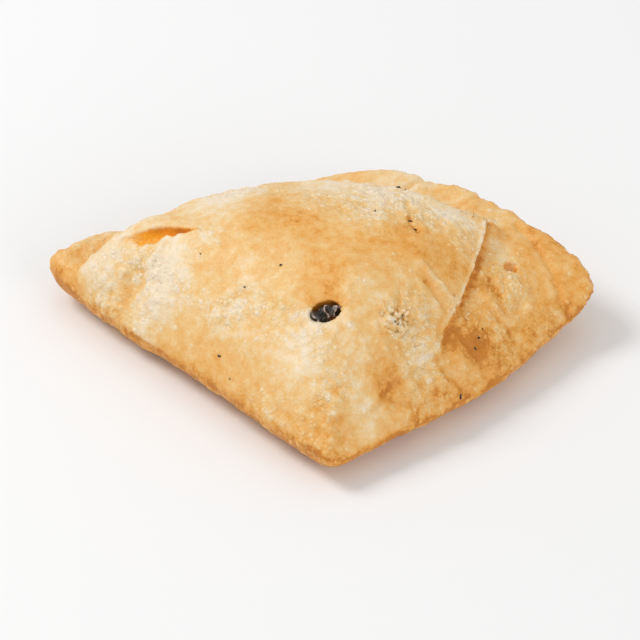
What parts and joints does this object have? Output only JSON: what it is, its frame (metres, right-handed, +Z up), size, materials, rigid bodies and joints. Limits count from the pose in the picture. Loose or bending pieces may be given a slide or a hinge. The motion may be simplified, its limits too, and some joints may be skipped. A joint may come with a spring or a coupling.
{
  "type": "folded fried dough triangle",
  "caption": "Puffed fried dough triangle, a thin round folded in quarters, with layered cut edges along its arc and a peppercorn pressed into its face.",
  "frame": {"origin": "middle of the bounding box, on the flat base it rests on", "axes": "+X along its width from the left tip to the right tip, +Y from the fold point towards the cut arc, +Z up"},
  "size_m": [0.0752, 0.0534, 0.0204],
  "materials": {
    "crust": "fried dough, golden, blistered and lightly oily",
    "husk": "dried peppercorn, wrinkled"
  },
  "bodies": {
    "root": {"pastry": "crust", "peppercorn": "husk"}
  },
  "joints": []
}
